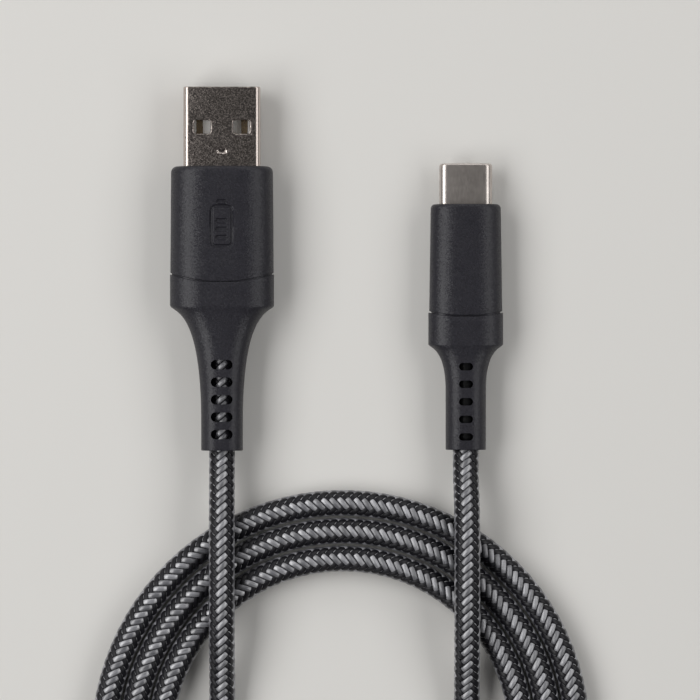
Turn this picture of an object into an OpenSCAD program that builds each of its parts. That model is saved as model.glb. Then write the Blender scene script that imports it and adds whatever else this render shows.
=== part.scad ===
// Charging cable: a wide plug for the charger at one end, a slim plug for the phone at the
// other, and a braided cable between them that lies in a coil of three turns side by side.
//
// Frame: the cable lies on z = 0 with +Z up. +Y points at the tips of both plugs, which lie
// next to each other. The origin is under the middle of the box around the two plugs.

/* [Charger plug] */
// Width of the metal shell
charger_shell_w = 12.0; // [11.9:0.05:12.1]
// Height of the metal shell
charger_shell_h = 4.5; // [4.4:0.05:4.6]
// Length of shell that stands out of the cover
charger_shell_out = 12.4; // [11.8:0.1:12.6]
// Width of the moulded cover
charger_cover_w = 16.1; // [15.6:0.1:17]
// Thickness of the moulded cover
charger_cover_t = 8.0; // [7.6:0.1:8]
// Width of the strain relief at the cable
charger_neck_w = 6.5; // [5.8:0.1:7]
// Thickness of the strain relief at the cable
charger_neck_t = 6.2; // [5.8:0.1:6.6]

/* [Phone plug] */
// Width of the metal shell
phone_shell_w = 8.25; // [8.2:0.05:8.3]
// Height of the metal shell
phone_shell_h = 2.4; // [2.35:0.05:2.45]
// Length of shell that stands out of the cover
phone_shell_out = 6.35; // [6.2:0.05:6.7]
// Width of the moulded cover
phone_cover_w = 11.3; // [11:0.1:12]
// Thickness of the moulded cover
phone_cover_t = 6.4; // [6.2:0.1:6.4]
// Width of the strain relief at the cable
phone_neck_w = 6.3; // [5.8:0.1:6.6]
// Thickness of the strain relief at the cable
phone_neck_t = 5.6; // [5.4:0.1:5.8]

/* [Cable] */
// Diameter over the braided sleeve
cable_d = 4.0; // [3.6:0.1:4]
// Diameter of the smooth jacket under the sleeve
jacket_d = 3.5; // [3.2:0.1:3.5]
// Diameter of one insulated wire
wire_d = 0.8; // [0.6:0.05:0.85]

/* [Strain relief slots] */
// Number of slots in each strain relief
slot_count = 5; // [3:1:5]
// Width of a slot in the charger plug
charger_slot_w = 3.4; // [2.6:0.1:3.6]
// Width of a slot in the phone plug
phone_slot_w = 2.2; // [1.8:0.1:2.8]

/* [Hidden] */
$fn = 48;

// Clearance between two pieces that are assembled one in the other
gap = 0.02;
// Overshoot of a cutting shape past the face it opens
past = 1;
// Height above and below a plug's axis that is clear of it
clear = 10;

// Places of the two plug axes: across the cable, and above the table
charger_x = -17.9;
charger_z = charger_cover_t / 2;
phone_x = 20.2;
phone_z = phone_cover_t / 2;

// Charger plug, along its axis: strain relief end, shell tip, cover front and shell rear
charger_end = -28.4;
charger_tip = 28.4;
charger_front = charger_tip - charger_shell_out;
charger_shell_rear = 11.2;
charger_mold_front = 13.4;
charger_mold_rear = -4.0;
charger_chamber_rear = -1.0;
charger_ferrule_rear = -7.4;
// Its shoulder, where the strain relief starts to narrow, the two inner control values of the
// sweep, and where it has its full slimness
charger_shoulder = -5.6;
charger_pull = [-7.1, -5.0];
charger_slim = -24.0;
// Its parting groove: a shallow arc whose middle lies nearest the cable
charger_groove_mid = -2.02;
charger_groove_edge = -0.67;
// Its shell: sheet, outer corner, and the windows for the socket's springs
shell_wall = 0.3;
charger_shell_corner = 0.85;
charger_inner_corner = charger_shell_corner - shell_wall + 0.05;
window_w = 2.9;
window_l = 2.35;
window_corner = 0.6;
window_x = 3.05;
window_back = 6.3;
// The pressed dimple behind the windows, and the closing seam underneath
dimple_back = 10.15;
dimple_w = 1.7;
dimple_l = 1.0;
dimple_depth = 0.15;
seam = 0.12;
// Its contact block: the tongue below, and the floor of the mouth
tongue_top = -0.04;
tongue_set_back = 0.4;
mouth_depth = 9.2;
// Its four contacts: places across, strip size, and the set-back of each tip
contact_x = [-3.5, -1.0, 1.0, 3.5];
contact_set_back = [1.1, 2.1, 2.1, 1.1];
contact_w = 1.0;
contact_t = 0.25;
contact_rear = 8.6;
// How far the wires stop short of its shell, and the chamber that they cross
wire_set_back = 0.3;
charger_chamber = [10.4, 3.4, 0.8];

// Phone plug, along its axis
phone_end = -28.3;
phone_front = 10.1;
phone_tip = phone_front + phone_shell_out;
phone_shell_rear = 5.0;
phone_mold_front = 8.2;
phone_mold_rear = -9.0;
phone_chamber_rear = -4.0;
phone_ferrule_rear = -11.5;
phone_shoulder = -11.75;
phone_pull = [-12.4, -12.2];
phone_slim = -19.0;
phone_groove_mid = -7.32;
phone_groove_edge = -6.66;
// Its shell and the contact block inside, with the slot that takes the socket's tongue
phone_shell_wall = 0.25;
phone_block_rear = 7.6;
phone_block_set_back = 0.25;
phone_slot_h = 0.85;
phone_slot_opening_w = 6.74;
phone_slot_depth = 6.2;
// Its spring contacts: places across in steps of the pitch, strip size and reach
phone_pitch = 0.5;
phone_upper_pins = [1, 4, 5, 6, 7, 9, 12];
phone_lower_pins = [1, 4, 5, 9, 12];
phone_contact_w = 0.25;
phone_contact_t = 0.15;
phone_contact_z = 0.43;
phone_contact_set_back = 0.85;
phone_contact_rear = 4.9;
// Its latch, one stamped fork in the middle plane
latch_t = 0.3;
latch_arm_x = 3.39;
latch_arm_w = 0.24;
latch_set_back = 1.15;
latch_bar_rear = 7.0;
latch_hook = 0.16;
// Its two ground springs: width, length and thickness
ground_spring = [6, 0.4, 0.1];
// Its circuit board and the can around it
board_w = 7.4;
board_t = 0.8;
board_front = 6.6;
board_rear = -1.5;
can_w = 9.2;
can_h = 3.9;
can_wall = 0.2;
can_front = 6.9;
can_rear = -1.8;
can_corner = 0.5;
// The resistor on its board: place along the plug, and size
resistor_y = 2.6;
resistor = [1.0, 0.5, 0.35];
// The chamber that the wires cross behind the can
phone_chamber = [6.4, 3.2, 0.8];

// Charge-level mark: its middle along the charger plug, and its depth
mark_y = 6.6;
mark_depth = 0.35;
// Round corners of the covers: along the long edges, and at the front in plan
charger_edge_r = 3.8;
charger_corner_r = 1.0;
phone_edge_r = 3.05;
phone_corner_r = 0.7;
neck_edge_r = 2.6;
// Width of the parting grooves
groove_w = 0.3;
// Size of the moulded inner blocks
charger_mold = [13.6, 6.0, 1.6];
phone_mold = [9.7, 4.9, 1.3];
// Slots in the strain reliefs: first one, spacing and length along the cable
charger_slot_first = -15.0;
charger_slot_pitch = 2.72;
charger_slot_l = 1.5;
phone_slot_first = -15.3;
phone_slot_pitch = 2.74;
phone_slot_l = 1.17;
// Crimp ferrules: outer diameters, and the sheet
ferrule_d = 4.7;
phone_ferrule_d = 4.6;
ferrule_gap = 0.03;
// Half the distance between the wires where they leave the jacket, and their pads on the board
bundle = 0.5;
pad_x = 1.6;

// Coil: a flat spiral of three turns. Its upper and lower halves are centred on two points
// a short way apart, so it is a little longer than it is wide.
coil_x = 1.7;
coil_upper_y = -73.7;
coil_lower_y = -87.7;
coil_first_r = 26.2;
coil_pitch = 4.35;
coil_turns = 3;
// The last part of the outer turn climbs, and belongs to the run to the phone plug
coil_short = 26.6;
coil_step = 7.5;

// Route of the cable from the charger plug over the coil and down into its middle
charger_route = [
    [-17.9, -28.4, 4.0], [-17.9, -31.5, 4.2], [-17.9, -35.0, 5.0], [-17.9, -38.5, 5.8],
    [-17.9, -42.0, 6.1], [-17.9, -47.0, 6.1], [-17.9, -52.5, 6.1], [-17.9, -56.0, 5.8],
    [-17.9, -60.0, 4.7], [-17.9, -64.0, 3.1], [-17.9, -67.5, 2.3], [-17.9, -71.0, 2.0],
    [-17.9, -77.0, 2.0], [-17.9, -83.0, 2.0], [-17.9, -89.0, 2.0], [-17.9, -94.3, 2.0],
    [-17.2, -99.4, 2.0], [-15.3, -104.1, 2.0], [-12.2, -108.2, 2.0], [-8.1, -111.3, 2.0],
    [-3.4, -113.2, 2.0], [1.7, -113.9, 2.0]
];
// Route from the end of the outer turn over the coil, across its middle, over the coil
// again and into the phone plug
phone_route = [
    [-15.7, -122.5, 2.0], [-10.4, -124.8, 2.9], [-4.4, -126.4, 5.2], [1.7, -127.0, 6.1],
    [6.5, -126.3, 6.1], [11.0, -124.4, 6.1], [14.9, -121.5, 6.1], [17.9, -117.6, 6.1],
    [19.8, -113.1, 6.1], [20.4, -108.2, 6.1], [20.4, -104.0, 5.8], [20.4, -100.0, 4.9],
    [20.4, -96.5, 3.4], [20.4, -93.0, 2.4], [20.4, -89.0, 2.0], [20.4, -83.0, 2.0],
    [20.4, -77.0, 2.0], [20.4, -71.0, 2.0], [20.4, -67.5, 2.3], [20.4, -64.0, 3.2],
    [20.4, -60.0, 4.9], [20.4, -56.5, 5.8], [20.4, -53.0, 6.1], [20.4, -47.5, 6.1],
    [20.4, -42.0, 6.1], [20.4, -38.5, 5.7], [20.3, -35.0, 4.6], [20.2, -31.8, 3.6],
    [20.2, -28.3, 3.2]
];
// Sides of the swept cable and of a wire
tube_sides = 10;
wire_sides = 12;

// ---- Shapes ----

// Rectangle with round corners, centred
module rounded_rect(w, h, r) {
    square([w - 2 * r, h], center = true);
    if (h > 2 * r) square([w, h - 2 * r], center = true);
    for (sx = [-1, 1], sy = [-1, 1]) translate([sx * (w / 2 - r), sy * (h / 2 - r)]) circle(r);
}

// Bar of rounded section that lies along Y, from y0 to y1
module bar(w, h, r, y0, y1)
    translate([0, y1, 0]) rotate([90, 0, 0]) linear_extrude(y1 - y0) rounded_rect(w, h, r);

// Upright post of rounded plan, from z0 to z1
module post(w, l, r, z0, z1) translate([0, 0, z0]) linear_extrude(z1 - z0) rounded_rect(w, l, r);

// Cylinder along Y, from y0 to y1
module barrel(d, y0, y1) translate([0, y1, 0]) rotate([90, 0, 0]) cylinder(d = d, h = y1 - y0);

// Box given by its lowest corner and its size
module block(corner, size) translate(corner) cube(size);

// Radius of an arc from its half-chord and its rise
function arc_radius(half_chord, rise) = (half_chord * half_chord + rise * rise) / (2 * rise);

// Everything on the front side of a parting groove that sags to y = mid in the middle
module ahead_of_groove(mid, radius)
    translate([0, mid + radius, -clear]) cylinder(r = radius, h = 2 * clear, $fn = 180);

// Upright block behind y = front whose front corners are round in plan
module front_block(front, w, r) {
    l = 40;
    translate([0, front - l / 2]) post(w, l, r, -clear, clear);
}

// Point of a cubic curve at t, from its four control values
function cubic(a, b, c, d, t) =
    a * pow(1 - t, 3) + 3 * b * pow(1 - t, 2) * t + 3 * c * (1 - t) * t * t + d * pow(t, 3);

// Ring of points round a rounded section at y: half width, half height and corner radius
function section(y, hw, ht, r, n = 6) = [
    for (q = [0:3], k = [0:n])
        let (a = 90 * q + 90 * k / n, sx = (q == 0 || q == 3) ? 1 : -1, sz = q < 2 ? 1 : -1)
            [sx * (hw - r) + r * cos(a), y, sz * (ht - r) + r * sin(a)]
];

// Closed skin over a list of rings that all have the same number of points. Each ring turns
// right-handed about the way the list runs.
module skin(rings) {
    n = len(rings[0]);
    last = len(rings) - 1;
    polyhedron(
        points = [for (ring = rings) each ring],
        faces = [
            [for (k = [0:n - 1]) k],
            for (i = [0:last - 1], k = [0:n - 1]) each [
                [i * n + k, (i + 1) * n + k, i * n + (k + 1) % n],
                [i * n + (k + 1) % n, (i + 1) * n + k, (i + 1) * n + (k + 1) % n]
            ],
            [for (k = [n - 1:-1:0]) last * n + k]
        ],
        convexity = 4
    );
}

// Outer shape of a strain relief: a body of constant section, a shoulder that sweeps in to
// the neck on one cubic curve, and a straight neck. pull holds the two inner control values.
module boot_blank(front, shoulder, pull, slim, end, body, neck, body_r) {
    steps = 14;
    skin([
        section(front, body[0] / 2, body[1] / 2, body_r),
        for (i = [0:steps]) let (t = i / steps) section(
            cubic(shoulder, pull[0], pull[1], slim, t),
            cubic(body[0], body[0], neck[0], neck[0], t) / 2,
            cubic(body[1], body[1], neck[1], neck[1], t) / 2,
            body_r + (neck_edge_r - body_r) * t
        ),
        section(end, neck[0] / 2, neck[1] / 2, neck_edge_r)
    ]);
}

// Row of slots through the top and bottom walls of a strain relief
module slots(first, pitch, w, l)
    for (i = [0:slot_count - 1]) translate([0, first - i * pitch, 0])
        post(w, l, l / 2 - gap, -clear, clear);

function unit(v) = v / norm(v);

// Way a route runs at point i: given at both ends, and along the neighbours between them
function heading(route, i, first, last) =
    i == 0 ? unit(first) : i == len(route) - 1 ? unit(last) : unit(route[i + 1] - route[i - 1]);

// Ring of a tube about a point, square to the heading
function tube_ring(p, h, d, sides) = let (side = unit(cross(h, [0, 0, 1])), up = cross(side, h)) [
    for (k = [0:sides - 1]) let (a = 360 * (k + 0.5) / sides) p + d / 2 * (cos(a) * side - sin(a) * up)
];

// Tube along a route, with the ways it leaves at both ends
module tube(route, first, last, d, sides)
    skin([for (i = [0:len(route) - 1]) tube_ring(route[i], heading(route, i, first, last), d, sides)]);

// Insulated wire along +Y: straight out of the jacket, over to its pad on one soft S-curve
// that ends at pad, and straight on to y = end
module wire(start, pad, end) {
    lead = 0.3;
    steps = 8;
    swing = [for (i = [0:steps]) let (t = i / steps, s = t * t * (3 - 2 * t)) [
        start.x + (pad.x - start.x) * s,
        start.y + lead + (pad.y - start.y - lead) * t,
        start.z + (pad.z - start.z) * s
    ]];
    tube([start, each swing, [pad.x, end, pad.z]], [0, 1, 0], [0, 1, 0], wire_d, wire_sides);
}

module at_charger() translate([charger_x, 0, charger_z]) children();
module at_phone() translate([phone_x, 0, phone_z]) children();

// ---- Charger plug ----

// Folded sheet shell with two windows and a pressed dimple on top, and two windows and a
// closing seam underneath
module charger_plug_shell() color("#8a8581") at_charger() difference() {
    bar(charger_shell_w, charger_shell_h, charger_shell_corner, charger_shell_rear, charger_tip);
    bar(charger_shell_w - 2 * shell_wall, charger_shell_h - 2 * shell_wall,
        charger_inner_corner, charger_shell_rear - past, charger_tip + past);
    for (sx = [-1, 1]) translate([sx * window_x, charger_tip - window_back])
        post(window_w, window_l, window_corner, -charger_shell_h, charger_shell_h);
    translate([0, charger_tip - dimple_back, charger_shell_h / 2 - dimple_depth])
        post(dimple_w, dimple_l, dimple_l / 2 - gap, 0, past);
    block([-seam / 2, charger_shell_rear - past, -charger_shell_h / 2 - past],
        [seam, charger_tip - charger_shell_rear + 2 * past, past + seam]);
}

// Moulded insulator: a tongue in the lower half of the mouth and a full-height rear part,
// with a channel for each contact
module charger_plug_contact_block() color("#d9d8d4") at_charger() {
    w = charger_shell_w - 2 * shell_wall - 2 * gap;
    h = charger_shell_h - 2 * shell_wall - 2 * gap;
    floor_y = charger_tip - mouth_depth;
    difference() {
        union() {
            bar(w, h, charger_inner_corner, charger_shell_rear, floor_y);
            intersection() {
                bar(w, h, charger_inner_corner, floor_y - past, charger_tip - tongue_set_back);
                block([-w / 2, floor_y - past, -h / 2], [w, mouth_depth + past, tongue_top + h / 2]);
            }
        }
        for (i = [0:3]) block(
            [contact_x[i] - contact_w / 2 - gap, charger_shell_rear - past, -contact_t],
            [contact_w + 2 * gap, charger_tip - contact_set_back[i] + gap - charger_shell_rear + past,
             contact_t + gap]
        );
    }
}

// Four flat contacts: the outer two reach nearer the tip, so that power joins first
module charger_plug_contacts() color("#d6b062") at_charger()
    for (i = [0:3]) block([contact_x[i] - contact_w / 2, contact_rear, -contact_t],
        [contact_w, charger_tip - contact_set_back[i] - contact_rear, contact_t]);

// One wire from the jacket to the tail of contact i: side and level say which corner of the
// bundle it leaves from
module charger_wire(i, side, level) at_charger() wire(
    [side * bundle, charger_chamber_rear, level * bundle],
    [contact_x[i], contact_rear, wire_d / 2 + gap], charger_shell_rear - wire_set_back
);

module charger_plug_power_wire() color("#b3261e") charger_wire(3, 1, -1);
module charger_plug_data_minus_wire() color("#e8e6e0") charger_wire(2, 1, 1);
module charger_plug_data_plus_wire() color("#2e7d46") charger_wire(1, -1, 1);
module charger_plug_ground_wire() color("#1b1b1d") charger_wire(0, -1, -1);

// First moulding: holds the shell's rear end, a chamber for the wires and the ferrule
module charger_plug_inner_mold() color("#c9c6bd") at_charger() difference() {
    bar(charger_mold[0], charger_mold[1], charger_mold[2], charger_mold_rear, charger_mold_front);
    bar(charger_shell_w + 2 * gap, charger_shell_h + 2 * gap, charger_shell_corner + gap,
        charger_shell_rear - gap, charger_mold_front + past);
    bar(charger_chamber[0], charger_chamber[1], charger_chamber[2], charger_chamber_rear,
        charger_shell_rear);
    barrel(ferrule_d + 2 * gap, charger_mold_rear - past, charger_chamber_rear + gap);
}

// Charge-level mark sunk into the top face: a battery outline with its terminal and bars
module charge_mark() {
    case = [3.6, 6.6, 0.8];
    line = 0.4;
    terminal = [1.5, 0.6, 0.25];
    bar_size = [1.8, 0.7, 0.3];
    bar_pitch = 1.3;
    bars_back = 0.5;
    terminal_y = (case[1] + terminal[1]) / 2 + 0.2;
    translate([0, mark_y, charger_cover_t / 2 - mark_depth]) {
        difference() {
            post(case[0], case[1], case[2], 0, past);
            post(case[0] - 2 * line, case[1] - 2 * line, case[2] - line, -past, 2 * past);
        }
        translate([0, terminal_y]) post(terminal[0], terminal[1], terminal[2], 0, past);
        for (i = [0:2]) translate([0, bar_pitch * (i - 1) - bars_back])
            post(bar_size[0], bar_size[1], bar_size[2], 0, past);
    }
}

// Front half of the outer moulding, with the mouth for the shell
module charger_plug_front_cover() color("#2b2a30") at_charger() {
    radius = arc_radius(charger_cover_w / 2, charger_groove_edge - charger_groove_mid);
    intersection() {
        difference() {
            bar(charger_cover_w, charger_cover_t, charger_edge_r, charger_mold_rear, charger_front);
            bar(charger_mold[0] + 2 * gap, charger_mold[1] + 2 * gap, charger_mold[2] + gap,
                charger_mold_rear - past, charger_mold_front + gap);
            bar(charger_shell_w + 2 * gap, charger_shell_h + 2 * gap, charger_shell_corner + gap,
                charger_mold_front, charger_front + past);
            charge_mark();
        }
        front_block(charger_front, charger_cover_w, charger_corner_r);
        ahead_of_groove(charger_groove_mid, radius);
    }
}

// Rear half of the outer moulding: the body narrows to a slotted strain relief
module charger_plug_rear_boot() color("#2b2a30") at_charger() {
    radius = arc_radius(charger_cover_w / 2, charger_groove_edge - charger_groove_mid);
    difference() {
        boot_blank(charger_mold_rear + 5, charger_shoulder, charger_pull, charger_slim, charger_end,
            [charger_cover_w + 0.1, charger_cover_t], [charger_neck_w, charger_neck_t], charger_edge_r);
        translate([0, -groove_w, 0]) ahead_of_groove(charger_groove_mid, radius);
        bar(charger_mold[0] + 2 * gap, charger_mold[1] + 2 * gap, charger_mold[2] + gap,
            charger_mold_rear - gap, charger_mold_front);
        barrel(ferrule_d + 2 * gap, charger_ferrule_rear - gap, charger_mold_rear + past);
        barrel(cable_d + 2 * gap, charger_end - past, charger_ferrule_rear);
        slots(charger_slot_first, charger_slot_pitch, charger_slot_w, charger_slot_l);
    }
}

// Brass tube crimped round the jacket
module charger_plug_crimp_ferrule() color("#b98d4a") at_charger() difference() {
    barrel(ferrule_d, charger_ferrule_rear, charger_chamber_rear - ferrule_gap);
    barrel(jacket_d + 2 * gap, charger_ferrule_rear - past, charger_chamber_rear + past);
}

// End of the cable inside the plug: the sleeve stops at the ferrule, the jacket runs on
module charger_plug_cable_end() color("#3a393e") at_charger() {
    barrel(cable_d, charger_end, charger_ferrule_rear - ferrule_gap);
    barrel(jacket_d, charger_ferrule_rear - 1, charger_chamber_rear);
}

// ---- Phone plug ----

// Deep-drawn seamless shell
module phone_plug_shell() color("#9c9a97") at_phone() difference() {
    bar(phone_shell_w, phone_shell_h, phone_shell_h / 2 - gap / 2, phone_shell_rear, phone_tip);
    bar(phone_shell_w - 2 * phone_shell_wall, phone_shell_h - 2 * phone_shell_wall,
        phone_shell_h / 2 - phone_shell_wall - gap / 2, phone_shell_rear - past, phone_tip + past);
}

// Place across of a pin, 1 to 12
function pin_x(pin) = (pin - 6.5) * phone_pitch;

// Moulded insulator with the slot for the socket's tongue, a groove for each contact and a
// side channel for each latch arm
module phone_plug_contact_block() color("#1c1c1e") at_phone() {
    w = phone_shell_w - 2 * phone_shell_wall - 2 * gap;
    h = phone_shell_h - 2 * phone_shell_wall - 2 * gap;
    front = phone_tip - phone_block_set_back;
    difference() {
        bar(w, h, h / 2 - gap / 2, phone_block_rear, front);
        block([-phone_slot_opening_w / 2, phone_tip - phone_slot_depth, -phone_slot_h / 2],
            [phone_slot_opening_w, phone_slot_depth + past, phone_slot_h]);
        for (sx = [-1, 1]) translate([sx * (latch_arm_x + latch_arm_w / 2), 0, 0])
            block([-latch_arm_w / 2 - gap, phone_block_rear - past, -latch_t / 2 - gap],
                [latch_arm_w + 2 * gap, phone_tip - latch_set_back + gap - phone_block_rear + past,
                 latch_t + 2 * gap]);
        for (pin = phone_upper_pins) contact_groove(pin);
        for (pin = phone_lower_pins) mirror([0, 0, 1]) contact_groove(pin);
        for (m = [0, 1]) mirror([0, 0, m])
            block([-ground_spring[0] / 2 - gap, front - ground_spring[1] - gap, phone_slot_h / 2 - gap],
                [ground_spring[0] + 2 * gap, ground_spring[1] + gap + past, ground_spring[2] + 2 * gap]);
    }
}

// Groove in the contact block for one contact of the upper row
module contact_groove(pin)
    block([pin_x(pin) - phone_contact_w / 2 - gap, phone_block_rear - past, phone_slot_h / 2 - gap],
        [phone_contact_w + 2 * gap, phone_tip - phone_contact_set_back + gap - phone_block_rear + past,
         phone_contact_z + phone_contact_t - phone_slot_h / 2 + 2 * gap]);

// One spring contact of the upper row, with the raised spot that touches the socket
module phone_contact(pin) translate([pin_x(pin) - phone_contact_w / 2, 0, 0]) {
    front = phone_tip - phone_contact_set_back;
    spot_rise = 0.12;
    block([0, phone_contact_rear, phone_contact_z],
        [phone_contact_w, front - phone_contact_rear, phone_contact_t]);
    block([0, front - 1.4, phone_contact_z - spot_rise], [phone_contact_w, 0.6, spot_rise + gap]);
}

module phone_plug_upper_contacts() color("#d6b062") at_phone()
    for (pin = phone_upper_pins) phone_contact(pin);
module phone_plug_lower_contacts() color("#d6b062") at_phone() mirror([0, 0, 1])
    for (pin = phone_lower_pins) phone_contact(pin);

// Stamped fork: a bar behind the contact block and an arm with a hook along each side
module phone_plug_latch() color("#b9b7b2") at_phone() {
    tip = phone_tip - latch_set_back;
    block([-latch_arm_x - latch_arm_w, latch_bar_rear, -latch_t / 2],
        [2 * (latch_arm_x + latch_arm_w), phone_block_rear - gap - latch_bar_rear, latch_t]);
    for (m = [0, 1]) mirror([m, 0, 0]) {
        block([latch_arm_x, latch_bar_rear, -latch_t / 2], [latch_arm_w, tip - latch_bar_rear, latch_t]);
        block([latch_arm_x - latch_hook, tip - 1.3, -latch_t / 2], [latch_hook + gap, 0.7, latch_t]);
    }
}

// Two shield springs, one above and one below the mouth of the slot
module phone_plug_ground_springs() color("#c4c2be") at_phone() for (m = [0, 1]) mirror([0, 0, m])
    block([-ground_spring[0] / 2, phone_tip - phone_block_set_back - ground_spring[1], phone_slot_h / 2],
        ground_spring);

// Circuit board that carries the contact tails in front and the wires behind
module phone_plug_circuit_board() color("#1f6b45") at_phone()
    block([-board_w / 2, board_rear, -board_t / 2], [board_w, board_front - board_rear, board_t]);

// Chip resistor that tells the phone which charger current it may draw
module phone_plug_resistor() color("#18181a") at_phone()
    block([-resistor[0] / 2, resistor_y, board_t / 2], resistor);

// Thin can round the board
module phone_plug_shield_can() color("#b0aeaa") at_phone() difference() {
    bar(can_w, can_h, can_corner, can_rear, can_front);
    bar(can_w - 2 * can_wall, can_h - 2 * can_wall, can_corner - can_wall, can_rear - past,
        can_front + past);
}

// One wire from the jacket to a pad on the board
module phone_wire(side, level) at_phone() wire(
    [side * bundle, phone_chamber_rear, level * bundle],
    [side * pad_x, board_rear - 0.1, level * (board_t + wire_d + 2 * gap) / 2], board_rear + 2.2
);

module phone_plug_power_wire() color("#b3261e") phone_wire(-1, -1);
module phone_plug_data_minus_wire() color("#e8e6e0") phone_wire(-1, 1);
module phone_plug_data_plus_wire() color("#2e7d46") phone_wire(1, 1);
module phone_plug_ground_wire() color("#1b1b1d") phone_wire(1, -1);

// First moulding: holds the can, the shell's rear end, the wires and the ferrule
module phone_plug_inner_mold() color("#c9c6bd") at_phone() difference() {
    bar(phone_mold[0], phone_mold[1], phone_mold[2], phone_mold_rear, phone_mold_front);
    bar(can_w + 2 * gap, can_h + 2 * gap, can_corner + gap, can_rear - gap, can_front + gap);
    bar(phone_shell_w + 2 * gap, phone_shell_h + 2 * gap, phone_shell_h / 2, can_front,
        phone_mold_front + past);
    bar(phone_chamber[0], phone_chamber[1], phone_chamber[2], phone_chamber_rear, can_rear);
    barrel(phone_ferrule_d + 2 * gap, phone_mold_rear - past, phone_chamber_rear + gap);
}

// Front half of the outer moulding, with the mouth for the shell
module phone_plug_front_cover() color("#2b2a30") at_phone() {
    radius = arc_radius(phone_cover_w / 2, phone_groove_edge - phone_groove_mid);
    intersection() {
        difference() {
            bar(phone_cover_w, phone_cover_t, phone_edge_r, phone_mold_rear, phone_front);
            bar(phone_mold[0] + 2 * gap, phone_mold[1] + 2 * gap, phone_mold[2] + gap,
                phone_mold_rear - past, phone_mold_front + gap);
            bar(phone_shell_w + 2 * gap, phone_shell_h + 2 * gap, phone_shell_h / 2, phone_mold_front,
                phone_front + past);
        }
        front_block(phone_front, phone_cover_w, phone_corner_r);
        ahead_of_groove(phone_groove_mid, radius);
    }
}

// Rear half of the outer moulding: the body narrows to a slotted strain relief
module phone_plug_rear_boot() color("#2b2a30") at_phone() {
    radius = arc_radius(phone_cover_w / 2, phone_groove_edge - phone_groove_mid);
    difference() {
        boot_blank(phone_mold_rear + 4, phone_shoulder, phone_pull, phone_slim, phone_end,
            [phone_cover_w + 0.3, phone_cover_t], [phone_neck_w, phone_neck_t], phone_edge_r);
        translate([0, -groove_w, 0]) ahead_of_groove(phone_groove_mid, radius);
        bar(phone_mold[0] + 2 * gap, phone_mold[1] + 2 * gap, phone_mold[2] + gap,
            phone_mold_rear - gap, phone_mold_front);
        barrel(phone_ferrule_d + 2 * gap, phone_ferrule_rear - gap, phone_mold_rear + past);
        barrel(cable_d + 2 * gap, phone_end - past, phone_ferrule_rear);
        slots(phone_slot_first, phone_slot_pitch, phone_slot_w, phone_slot_l);
    }
}

// Brass tube crimped round the jacket
module phone_plug_crimp_ferrule() color("#b98d4a") at_phone() difference() {
    barrel(phone_ferrule_d, phone_ferrule_rear, phone_chamber_rear - ferrule_gap);
    barrel(jacket_d + 2 * gap, phone_ferrule_rear - past, phone_chamber_rear + past);
}

// End of the cable inside the plug: the sleeve stops at the ferrule, the jacket runs on
module phone_plug_cable_end() color("#3a393e") at_phone() {
    barrel(cable_d, phone_end, phone_ferrule_rear - ferrule_gap);
    barrel(jacket_d, phone_ferrule_rear - 1, phone_chamber_rear);
}

// ---- Cable ----

// Point of the spiral at angle a in degrees, counted from below and turning to the right,
// moved outwards by out
function spiral_point(a, out) = let (r = coil_first_r + coil_pitch * a / 360 + out) [
    coil_x + r * sin(a), (cos(a) > 0 ? coil_lower_y : coil_upper_y) - r * cos(a)
];

// One whole turn of the spiral's edge that ends at angle a1
function spiral_turn(a1, out) = [for (k = [0:360 / coil_step]) spiral_point(a1 - 360 + k * coil_step, out)];

// Layer of the coil's outer shape between z0 and z1, drawn in by inset on both edges
module coil_layer(inset, z0, z1) translate([0, 0, z0]) difference() {
    linear_extrude(z1 - z0) polygon(spiral_turn(360 * coil_turns - coil_short, cable_d / 2 - inset));
    translate([0, 0, -past]) linear_extrude(z1 - z0 + 2 * past)
        polygon(spiral_turn(360, inset - cable_d / 2));
}

module cable_run_to_charger_plug() color("#4a494e")
    tube(charger_route, [0, -1, 0], [1, 0, 0], cable_d, tube_sides);

module cable_coil() color("#4a494e") {
    coil_layer(0, 1.0, cable_d - 1.0);
    coil_layer(0.3, 0.5, cable_d - 0.5);
    coil_layer(0.9, 0, cable_d);
}

module cable_run_to_phone_plug() color("#4a494e")
    tube(phone_route, [cos(coil_short), -sin(coil_short), 0], [0, 1, 0], cable_d, tube_sides);

// ---- Assembly ----

charger_plug_shell();
charger_plug_contact_block();
charger_plug_contacts();
charger_plug_power_wire();
charger_plug_data_minus_wire();
charger_plug_data_plus_wire();
charger_plug_ground_wire();
charger_plug_inner_mold();
charger_plug_front_cover();
charger_plug_rear_boot();
charger_plug_crimp_ferrule();
charger_plug_cable_end();
phone_plug_shell();
phone_plug_contact_block();
phone_plug_upper_contacts();
phone_plug_lower_contacts();
phone_plug_latch();
phone_plug_ground_springs();
phone_plug_circuit_board();
phone_plug_resistor();
phone_plug_shield_can();
phone_plug_power_wire();
phone_plug_data_minus_wire();
phone_plug_data_plus_wire();
phone_plug_ground_wire();
phone_plug_inner_mold();
phone_plug_front_cover();
phone_plug_rear_boot();
phone_plug_crimp_ferrule();
phone_plug_cable_end();
cable_run_to_charger_plug();
cable_coil();
cable_run_to_phone_plug();
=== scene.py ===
"""Charging cable: the looks of a braided cable with a wide and a slim plug.

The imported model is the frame: plugs, contacts, boards and moulded parts sit where it says.
The cord, its woven sleeve and the outer mouldings are surfaces worked out here with numpy.
All lengths are in metres. Along the cable, s is the distance from the charger plug.
"""

import math

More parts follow.
